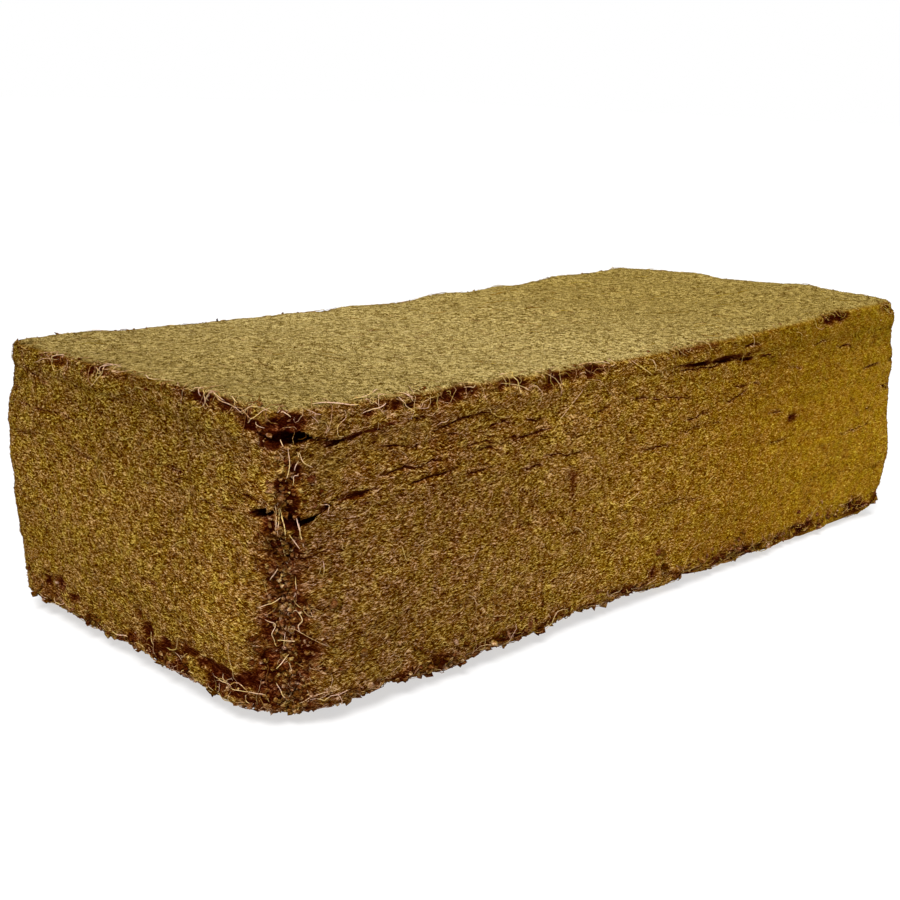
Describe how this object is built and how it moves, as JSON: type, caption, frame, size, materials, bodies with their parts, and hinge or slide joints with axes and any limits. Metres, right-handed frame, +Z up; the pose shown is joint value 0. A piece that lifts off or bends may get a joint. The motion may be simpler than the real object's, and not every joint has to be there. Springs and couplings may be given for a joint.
{
  "type": "coconut coir bale",
  "caption": "Brick-shaped bale of compressed coconut coir, lying on a broad face, with a felted top, split layers at one upright edge and a crumbled foot.",
  "frame": {"origin": "under the middle of the bale, on the surface that it rests on", "axes": "+X along its length, +Y across it, away from the long side that the splits open to, +Z up through its thickness"},
  "size_m": [0.21, 0.096, 0.06],
  "materials": {
    "coir": "matt pressed coir pith and fibre, golden brown on the sides and a paler olive tan on top, with dark red-brown crumbs in the splits and at the foot"
  },
  "bodies": {
    "root": {"coir_bale": "coir"}
  },
  "joints": []
}
